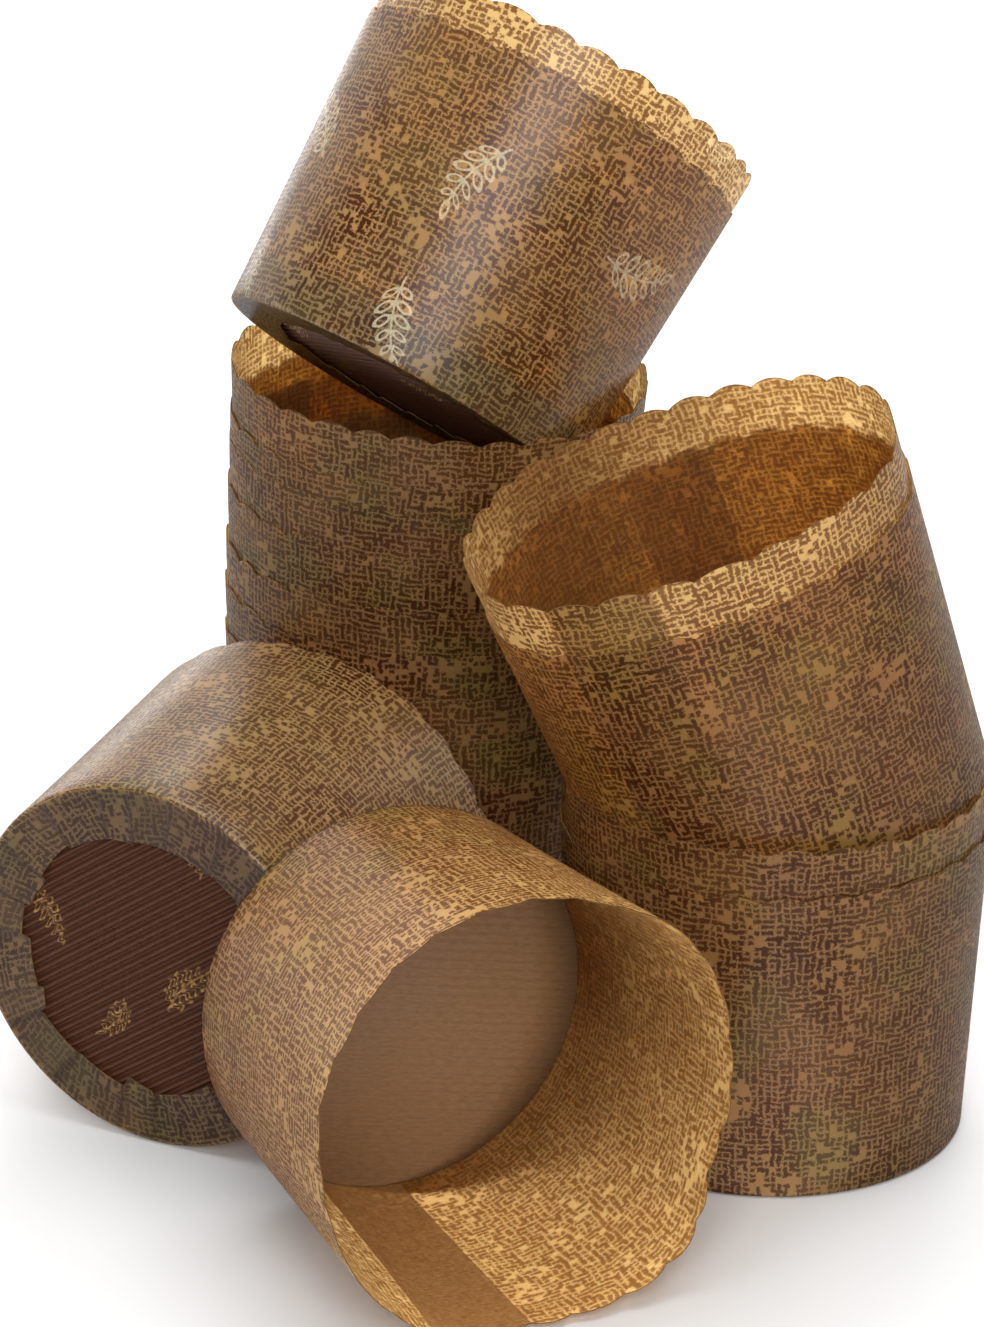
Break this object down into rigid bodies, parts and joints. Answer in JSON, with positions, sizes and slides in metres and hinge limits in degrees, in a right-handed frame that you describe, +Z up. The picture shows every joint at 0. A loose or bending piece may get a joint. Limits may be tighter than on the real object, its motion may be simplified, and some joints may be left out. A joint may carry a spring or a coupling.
{
  "type": "stack of cupcake liners",
  "caption": "Pile of free-standing paper baking liners with scalloped rims, folded hems and corrugated foot boards, nested in short stacks and lying loose.",
  "frame": {"origin": "middle of the pile's footprint, on the surface that it rests on", "axes": "+Z up, +X to the right and +Y away from the viewer, as the picture looks at it"},
  "size_m": [0.165, 0.1948, 0.1777],
  "materials": {
    "printed_paper": "greaseproof paper with a printed brown weave, slightly glossy",
    "corrugated_board": "matte dark brown flutes under a grey-brown facing sheet"
  },
  "bodies": {
    "root": {"left_cup_1": "printed_paper", "left_cup_2": "printed_paper", "left_cup_3": "printed_paper", "left_cup_4": "printed_paper", "left_cup_5": "printed_paper", "left_cup_6": "printed_paper", "left_cup_7": "printed_paper", "left_cup_8": "printed_paper", "tilted_cup_1": "printed_paper", "tilted_cup_2": "printed_paper", "right_foot_cup_1": "printed_paper", "right_foot_cup_2": "printed_paper", "right_top_cup_1": "printed_paper", "right_top_cup_2": "printed_paper", "back_cup": "printed_paper", "front_cup": "printed_paper", "left_board_1": "corrugated_board", "left_board_2": "corrugated_board", "left_board_3": "corrugated_board", "left_board_4": "corrugated_board", "left_board_5": "corrugated_board", "left_board_6": "corrugated_board", "left_board_7": "corrugated_board", "left_board_8": "corrugated_board", "tilted_board_1": "corrugated_board", "tilted_board_2": "corrugated_board", "right_foot_board_1": "corrugated_board", "right_foot_board_2": "corrugated_board", "right_top_board_1": "corrugated_board", "right_top_board_2": "corrugated_board", "back_board": "corrugated_board", "front_board": "corrugated_board"}
  },
  "joints": []
}
